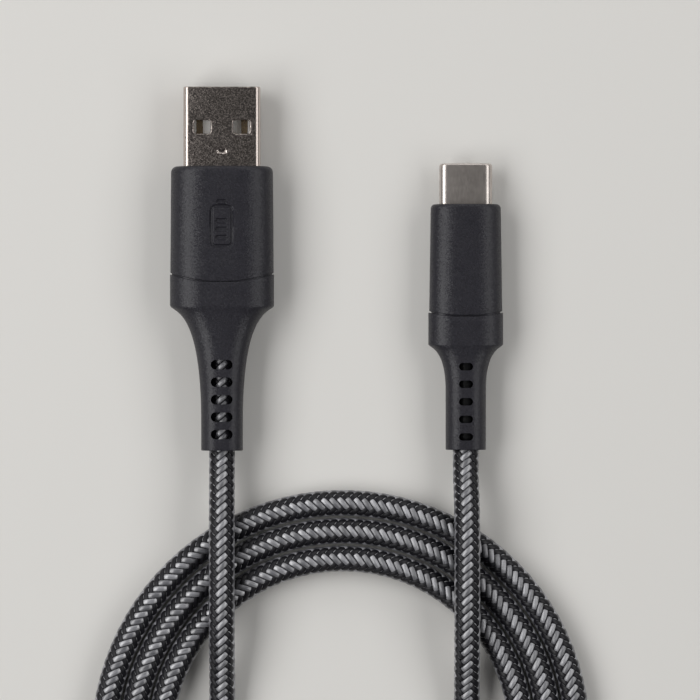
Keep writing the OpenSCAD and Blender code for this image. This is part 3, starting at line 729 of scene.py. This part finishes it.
def edge_break(y, way, width, height, edge, bow):
    """Stations of the small radius at an end of a moulding, from the end's face at y inwards.
    The way is 1 where the moulding lies towards the tip and -1 where it lies behind."""
    stations = []
    for k in np.linspace(0, np.pi / 2, 4):
        drawn_in = EDGE_BREAK * (1 - math.sin(k))
        inwards = way * EDGE_BREAK * (1 - math.cos(k))
        stations.append((y + inwards, width - drawn_in, height - drawn_in, edge - drawn_in, bow))
    return stations


def front_round(front, width, height, radius_x, radius_z, edge, steps=7, edge_share=1.0):
    """Stations of a rounded front end: quarter ellipses of the two radii, in plan and in
    height. The section's corners shrink by a share of what the height loses."""
    stations = []
    for k in np.linspace(0, np.pi / 2, steps):
        drawn_x, drawn_z = radius_x * (1 - math.cos(k)), radius_z * (1 - math.cos(k))
        corners = np.maximum(edge - edge_share * drawn_z, ROUND_MARGIN)
        y = front - max(radius_x, radius_z) * (1 - math.sin(k))
        stations.append((y, width - drawn_x, height - drawn_z, corners, 0.0))
    return stations


def cover_surface(plug, form, name, mark=False):
    """Front moulding as one closed surface: out along the body, round the front edge, in to
    the mouth, back through it, along the pocket and out again at the groove. The body gets
    wider in a straight line from front to groove."""
    (front_width, width, _), height = form["half_widths"], plug.cover[1]
    edge, corner, groove = form["edge"], form["corner"], form["groove"][0]
    if mark:
        rows = np.concatenate([[0.5 * MM], np.linspace(*MARK_ROWS, 90)])
        top_marks = np.linspace(-MARK_REACH, MARK_REACH, 54) / (width - edge[0])
    else:
        rows = np.linspace(groove + 2 * MM, plug.front - 2 * MM, 6)
        top_marks = ()
    stations = edge_break(groove, 1, width, height, edge, 1.0)
    for y in rows:
        share = (y - groove) / (plug.front - groove)
        body_width = width + (front_width - width) * share
        stations.append((y, body_width, height, edge, max(0.0, 1 - 3 * share)))
    stations += front_round(
        plug.front, front_width, height, corner, FRONT_DROP * corner, edge, steps=9, edge_share=0.8
    )
    collar = collar_section(plug, form, 0.0)
    mouth, mouth_edge = plug.shell + WALL_GAP, form["mouth_edge"]
    pocket = plug.mold + WALL_GAP
    stations += [
        (plug.front, *(mouth + EDGE_BREAK), mouth_edge + 0.1 * MM, 0.0),
        (plug.front - EDGE_BREAK, *mouth, mouth_edge, 0.0),
        (plug.mold_front + WALL_GAP, *mouth, mouth_edge, 0.0),
        (plug.mold_front + WALL_GAP, *pocket, POCKET_EDGE, 0.0),
        (groove + COVER_LAP, *pocket, POCKET_EDGE, 0.0),
        (groove + COVER_LAP, *collar, 0.0),
        (groove, *collar, 1.0),
    ]
    rings = lay_rings(plug, stations, groove_radius(plug, form), top_marks=top_marks)
    if mark:
        on_top = rings[:, :, 2] > plug.axis[2] + height - SKIN
        depth = charge_mark_depth(rings[:, :, 0] - plug.axis[0], rings[:, :, 1])
        rings[:, :, 2] -= MARK_DEPTH * on_top * depth
    piece = closed_surface(name, rings, close_rows=True)
    sharpen(piece, CREASE)
    return piece


def boot_surface(plug, form, name):
    """Rear moulding as one closed surface: a collar under the cover's rear edge, the body,
    a sweep to the neck on one cubic curve in plan and in height, the end face, and back
    through the bore and the pocket."""
    (_, _, width), height = form["half_widths"], plug.cover[1]
    groove = form["groove"][0] - GROOVE_WIDTH
    collar = collar_section(plug, form, WALL_GAP)
    edge, shoulder = form["edge"], form["sweep"][0]
    neck_width, neck_height = form["neck"]
    stations = [(groove + COLLAR_LENGTH, *collar, 0.0), (groove, *collar, 1.0)]
    stations += edge_break(groove, -1, width, height, edge, 1.0)
    for share in (0.3, 0.6, 0.85):
        stations.append((groove + share * (shoulder - groove), width, height, edge, 1 - share))
    for t in np.linspace(0, 1, 40):
        stations.append((
            cubic(form["sweep"], t),
            cubic((width, width, neck_width, neck_width), t),
            cubic((height, height, neck_height, neck_height), t),
            edge + (NECK_EDGE - edge) * t, 0.0,
        ))
    stations += edge_break(plug.end, 1, neck_width, neck_height, NECK_EDGE, 0.0)[::-1]
    bore = (BORE + ROUND_MARGIN, BORE + ROUND_MARGIN, BORE)
    ferrule = (FERRULE_POCKET + ROUND_MARGIN, FERRULE_POCKET + ROUND_MARGIN, FERRULE_POCKET)
    stations += [
        (plug.end, *bore, 0.0),
        (plug.ferrule_rear, *bore, 0.0),
        (plug.mold_rear - WALL_GAP, *ferrule, 0.0),
        (plug.mold_rear - WALL_GAP, *(plug.mold + WALL_GAP), POCKET_EDGE, 0.0),
    ]
    rings = lay_rings(plug, stations, groove_radius(plug, form), corner=14)
    return closed_surface(name, rings, close_rows=True)


def shell_surface(plug, form, name):
    """Metal shell as one closed surface: along the outside, round the rolled mouth, and back
    along the inside. A shell with a dimple has finer rows and columns there: its depth falls
    off as (1 + cos) / 2 of the distance to the dimple's middle line."""
    width, height = plug.shell
    wall, edge, dimple = form["wall"], form["shell_edge"], form.get("dimple")
    rear = span(plug.prefix + "_shell")[0][1]
    rows = np.linspace(rear, plug.tip - 1 * MM, 8)
    top_marks = ()
    if dimple is not None:
        place_y, half_length, radius, depth = dimple
        fine = place_y + np.arange(-radius, radius, DIMPLE_STEP)
        rows = np.sort(np.concatenate([rows[(rows < fine[0]) | (rows > fine[-1])], fine]))
        reach = half_length + radius
        top_marks = np.linspace(-reach, reach, 42) / (width - edge)
    stations = [(y, width, height, edge, 0.0) for y in rows]
    stations += front_round(plug.tip, width, height, *form["mouth_round"], edge)
    inner = (width - wall, height - wall, edge - wall, 0.0)
    stations += [(plug.tip - WALL_GAP, *inner), (rear, *inner)]
    rings = lay_rings(plug, stations, top_marks=top_marks)
    if dimple is not None:
        x = rings[:, :, 0] - plug.axis[0]
        away = np.hypot(x - np.clip(x, -half_length, half_length), rings[:, :, 1] - place_y)
        on_top = rings[:, :, 2] > plug.axis[2] + height - SKIN
        rings[:, :, 2] -= on_top * depth * (1 + np.cos(np.pi * np.clip(away / radius, 0, 1))) / 2
    return closed_surface(name, rings, close_rows=True)


def window_cutters(plug, form):
    """Upright posts for the two windows in each face of the shell. Towards both faces a post
    widens by r - sqrt(r^2 - (r - depth)^2), which leaves a rolled edge."""
    across, back, half_x, half_y, corner, roll = form["windows"]
    depth = roll * (1 - np.sin(np.linspace(0, np.pi / 2, 6)))[::-1]
    widening = roll - np.sqrt(roll**2 - (roll - depth) ** 2)
    z = plug.shell[1] - depth
    top = plug.shell[1] + CUTTER_OVERLAP
    levels = np.concatenate([[top], z, -z[::-1], [-top]])
    grow = np.concatenate([[roll], widening, widening[::-1], [roll]])
    posts = []
    for side in (-1, 1):
        rings = []
        for level, more in zip(levels, grow):
            outline = rounded_section(half_x + more, half_y + more, corner + more)
            rings.append(np.stack([
                plug.axis[0] + side * across + outline[:, 0], plug.tip - back + outline[:, 1],
                np.full(len(outline), plug.axis[2] + level),
            ], -1))
        posts.append(closed_surface(f"window_cutter_{side}", np.array(rings)))
    return join_surfaces("window_cutters", posts)


def slot_cutters(plug, form):
    """Upright posts with round ends, one for each slot. The outline is two half circles of
    the slot's length, set apart by its width less its length."""
    first, pitch, width, length = form["slots"]
    a = np.linspace(0, 2 * np.pi, 32, endpoint=False)
    x = np.sign(np.cos(a)) * (width - length) / 2 + length / 2 * np.cos(a)
    y = length / 2 * np.sin(a)
    posts = []
    for i in range(SLOT_COUNT):
        rings = [
            np.stack([plug.axis[0] + x, first - i * pitch + y, np.full_like(x, plug.axis[2] + z)], -1)
            for z in (-SLOT_REACH, SLOT_REACH)
        ]
        posts.append(closed_surface(f"slot_cutter_{i}", np.array(rings)))
    return join_surfaces("slot_cutters", posts)


def cut(piece, cutter):
    """Cuts the cutter out of a piece and removes the cutter."""
    modifier = piece.modifiers.new("cut", "BOOLEAN")
    modifier.operation, modifier.solver, modifier.object = "DIFFERENCE", "EXACT", cutter
    bpy.context.view_layer.update()
    evaluated = piece.evaluated_get(bpy.context.evaluated_depsgraph_get())
    mesh = bpy.data.meshes.new_from_object(evaluated)
    piece.modifiers.clear()
    piece.data = mesh
    bpy.data.objects.remove(cutter)


def place(piece, material, slot, *replaced):
    """Gives a piece its material, lets it ride on the cable's body, and takes the place of nodes of the
    frame. The slot is not used."""
    dress(piece, material)
    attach(piece, "root")
    if replaced:
        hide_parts(*replaced)


# ---- Operators ----


FLOOR_Z = -0.08 * MM
FLOOR_HALF = 1.5  # half of the floor's side
ROOM_LIGHT = 0.10
# Soft boxes: place from the middle of the view, sides in metres and power in watts
SOFT_BOXES = {
    "soft_box_left": ((-0.52, 0.05, 0.54), (1.1, 0.45), 5.2),
    "soft_box_right": ((0.56, 0.05, 0.50), (1.1, 0.40), 2.7),
    "soft_box_far": ((0.05, 0.75, 0.36), (1.0, 0.3), 1.6),
}


class CABLE_OT_stage(bpy.types.Operator):
    """Pale floor, soft lights and the camera straight above"""

    bl_idname = "cable.stage"
    bl_label = "Stage"

    def execute(self, context):
        scene, stage = context.scene, context.scene.cable_stage
        scene.view_settings.view_transform = "Standard"
        self.floor(scene, stage)
        self.lights(scene, stage)
        camera = bpy.data.cameras.new("camera")
        camera.sensor_width = 36
        camera.lens = camera.sensor_width * (stage.camera_height - charger.axis[2]) / stage.view_width
        camera.clip_start, camera.clip_end = 0.01, 10
        scene.camera = bpy.data.objects.new("camera", camera)
        scene.camera.location = (stage.view_x, stage.view_y, stage.camera_height)
        scene.collection.objects.link(scene.camera)
        return {"FINISHED"}

    def floor(self, scene, stage):
        """Square sheet just under the lowest yarns."""
        corners = [
            (x * FLOOR_HALF, y * FLOOR_HALF, FLOOR_Z) for x, y in ((-1, -1), (1, -1), (1, 1), (-1, 1))
        ]
        mesh = bpy.data.meshes.new("floor")
        mesh.from_pydata(corners, [], [(0, 1, 2, 3)])
        floor = bpy.data.objects.new("floor", mesh)
        scene.collection.objects.link(floor)
        material, _, _ = new_material("matt_paper", stage.floor, 0.8)
        dress(floor, material)

    def lights(self, scene, stage):
        """Two long soft boxes at the sides, a third one beyond the plugs, and a dim room."""
        world = bpy.data.worlds.new("room")
        world.use_nodes = True
        background = world.node_tree.nodes["Background"]
        background.inputs["Color"].default_value = (1, 1, 1, 1)
        background.inputs["Strength"].default_value = ROOM_LIGHT
        scene.world = world
        middle = np.array([stage.view_x, stage.view_y, 0])
        for name, (offset, sides, power) in SOFT_BOXES.items():
            light = bpy.data.lights.new(name, "AREA")
            light.shape, light.size, light.size_y, light.energy = "RECTANGLE", *sides, power
            lamp = bpy.data.objects.new(name, light)
            lamp.location = middle + offset
            lamp.rotation_euler = aim(-np.array(offset))
            scene.collection.objects.link(lamp)


def aim(direction):
    """Angles that turn a light's own -Z along a direction."""
    x, y, z = unit(direction)
    return (math.acos(-z), 0.0, math.atan2(x, -y) + math.pi)


class CABLE_OT_braided_cable(bpy.types.Operator):
    """Jacket along the whole route, and the two sets of yarns woven round it"""

    bl_idname = "cable.braided_cable"
    bl_label = "Braided cable"

    def execute(self, context):
        sizes, colours = context.scene.cable_sizes, context.scene.cable_colours
        line, first, last = cable_line(sizes.lead / (2 * sizes.carriers) / STEPS_PER_CROSSING)
        woven = line[:last + int(SLEEVE_END_INSIDE / np.linalg.norm(line[1] - line[0]))]
        jacket = moulded_polymer("smooth_jacket", colours.jacket, 0.35)
        free = np.vstack([charger.exit, line[first + 3:last - 2:3], phone.exit])
        core = round_tube("cable_jacket", free, sizes.jacket)
        place(core, jacket, "braided_nylon",
              "cable_run_to_charger_plug", "cable_coil", "cable_run_to_phone_plug")
        for plug in (charger, phone):
            self.end_in_plug(plug, sizes, jacket)
        # Of each set: way round, numbers of its yarns, colour, roughness and highlight level
        sets = {
            "sleeve_pale_yarns": (1, range(0, sizes.carriers, 2), colours.pale_yarn, 0.42, 1.0),
            "sleeve_grey_yarns": (1, range(1, sizes.carriers, 2), colours.grey_yarn, 0.42, 0.75),
            "sleeve_dark_yarns_a": (-1, range(0, sizes.carriers, 2), colours.dark_yarn, 0.45, 0.12),
            "sleeve_dark_yarns_b": (-1, range(1, sizes.carriers, 2), colours.dark_yarn, 0.45, 0.12),
        }
        for name, (way, numbers, rgb, gloss, level) in sets.items():
            yarns = [yarn_surface(f"{name}_{i}", woven, i, way, sizes) for i in numbers]
            piece = join_surfaces(name, yarns)
            material = nylon_yarn(name.replace("sleeve", "nylon"), tuple(rgb), gloss, level)
            place(piece, material, "braided_nylon")
        return {"FINISHED"}

    def end_in_plug(self, plug, sizes, jacket):
        """Jacket inside a strain relief, on through the ferrule to where the wires leave it."""
        wires_y = span(plug.prefix + "_cable_end")[1][1]
        straight = np.linspace(plug.exit, (plug.axis[0], wires_y, plug.axis[2]), 12)
        piece = round_tube(plug.prefix + "_jacket_end", straight, sizes.jacket)
        place(piece, jacket, "cable_jacket", plug.prefix + "_cable_end")


class CABLE_OT_covers(bpy.types.Operator):
    """Front mouldings of both plugs, one with the sunk battery mark"""

    bl_idname = "cable.covers"
    bl_label = "Front covers"

    def execute(self, context):
        material = charcoal_moulding(context.scene.cable_colours, "charcoal_abs")
        for plug, form in FORMS:
            name = plug.prefix + "_front_cover"
            piece = cover_surface(plug, form, name + "_moulding", mark=plug is charger)
            place(piece, material, "charcoal_cover", name)
        return {"FINISHED"}


class CABLE_OT_boots(bpy.types.Operator):
    """Rear mouldings of both plugs, with their slotted strain reliefs"""

    bl_idname = "cable.boots"
    bl_label = "Strain reliefs"

    def execute(self, context):
        material = charcoal_moulding(context.scene.cable_colours, "charcoal_elastomer")
        for plug, form in FORMS:
            name = plug.prefix + "_rear_boot"
            piece = boot_surface(plug, form, name + "_moulding")
            cut(piece, slot_cutters(plug, form))
            sharpen(piece, SLOT_CREASE)
            place(piece, material, "charcoal_boot", name)
        return {"FINISHED"}


class CABLE_OT_shells(bpy.types.Operator):
    """Folded shell with windows and a dimple, and the smooth drawn shell"""

    bl_idname = "cable.shells"
    bl_label = "Metal shells"

    def execute(self, context):
        colours = context.scene.cable_colours
        folded = shell_surface(charger, CHARGER_FORM, "charger_plug_folded_shell")
        cut(folded, window_cutters(charger, CHARGER_FORM))
        drawn = shell_surface(phone, PHONE_FORM, "phone_plug_drawn_shell")
        for piece in (folded, drawn):
            sharpen(piece, CREASE)
        place(folded, grainy_nickel_painted_highlights(colours), "charger_shell_nickel", "charger_plug_shell")
        place(drawn, satin_nickel(colours), "phone_shell_nickel", "phone_plug_shell")
        return {"FINISHED"}


def both(part):
    """Nodes of the frame for a part that each plug has."""
    return [f"{plug.prefix}_{part}" for plug in (charger, phone)]


# Finish of each part inside the plugs: how it is made, its name, colour, roughness and nodes
INNER_FINISHES = [
    # partly painted light: the insulator is white, and its colour is made lighter still to stand in for
    # light that the shell's walls keep off it
    (moulded_polymer, "white_insulator", "#FAF8F4", 0.5, ["charger_plug_contact_block"]),
    (moulded_polymer, "black_insulator", "#1A1A1C", 0.5, ["phone_plug_contact_block"]),
    (stamped_metal, "gold_plate", "#A8947A", 0.28, [
        "charger_plug_contacts", "phone_plug_upper_contacts", "phone_plug_lower_contacts"]),
    (stamped_metal, "spring_steel", "#BDBBB7", 0.3, ["phone_plug_latch", "phone_plug_ground_springs"]),
    (stamped_metal, "tin_plate", "#B5B3AF", 0.35, ["phone_plug_shield_can"]),
    (stamped_metal, "plain_brass", "#B8914F", 0.32, both("crimp_ferrule")),
    (moulded_polymer, "natural_polyethylene", "#C9C6BD", 0.45, both("inner_mold")),
    (moulded_polymer, "green_solder_mask", "#1F6B45", 0.35, ["phone_plug_circuit_board"]),
    (moulded_polymer, "chip_resistor", "#18181A", 0.3, ["phone_plug_resistor"]),
    (moulded_polymer, "red_insulation", "#B3261E", 0.35, both("power_wire")),
    (moulded_polymer, "white_insulation", "#E8E6E0", 0.35, both("data_minus_wire")),
    (moulded_polymer, "green_insulation", "#2E7D46", 0.35, both("data_plus_wire")),
    (moulded_polymer, "black_insulation", "#1B1B1D", 0.35, both("ground_wire")),
]


class CABLE_OT_inner_parts(bpy.types.Operator):
    """Finishes of the parts inside both plugs"""

    bl_idname = "cable.inner_parts"
    bl_label = "Inner parts"

    def execute(self, context):
        for make, name, hex_colour, roughness, nodes in INNER_FINISHES:
            material = make(name, linear(hex_colour), roughness)
            for node in nodes:
                dress(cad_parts[node], material)
        return {"FINISHED"}


class CABLE_PT_panel(bpy.types.Panel):
    """Sizes, colours and build steps of the cable"""

    bl_label = "Charging cable"
    bl_idname = "CABLE_PT_panel"
    bl_space_type = "VIEW_3D"
    bl_region_type = "UI"
    bl_category = "Cable"

    def draw(self, context):
        for group in (context.scene.cable_sizes, context.scene.cable_colours, context.scene.cable_stage):
            box = self.layout.box()
            for key in group.__annotations__:
                box.prop(group, key)
        for operator in OPERATORS:
            self.layout.operator(operator.bl_idname)


GROUPS = {"cable_sizes": CableSizes, "cable_colours": CableColours, "cable_stage": StageSettings}
OPERATORS = (
    CABLE_OT_stage, CABLE_OT_braided_cable, CABLE_OT_covers, CABLE_OT_boots, CABLE_OT_shells,
    CABLE_OT_inner_parts,
)


def register():
    """Registers the classes and hangs the settings on the scene."""
    for made in (*GROUPS.values(), *OPERATORS, CABLE_PT_panel):
        bpy.utils.register_class(made)
    for key, group in GROUPS.items():
        setattr(bpy.types.Scene, key, PointerProperty(type=group))


def unregister():
    """Takes the settings off the scene and unregisters the classes."""
    for key in GROUPS:
        delattr(bpy.types.Scene, key)
    for made in (CABLE_PT_panel, *OPERATORS[::-1], *GROUPS.values()):
        bpy.utils.unregister_class(made)


def main():
    """Builds everything in order."""
    register()
    for operator in OPERATORS:
        group, name = operator.bl_idname.split(".")
        getattr(getattr(bpy.ops, group), name)()


if __name__ == "__main__":
    main()
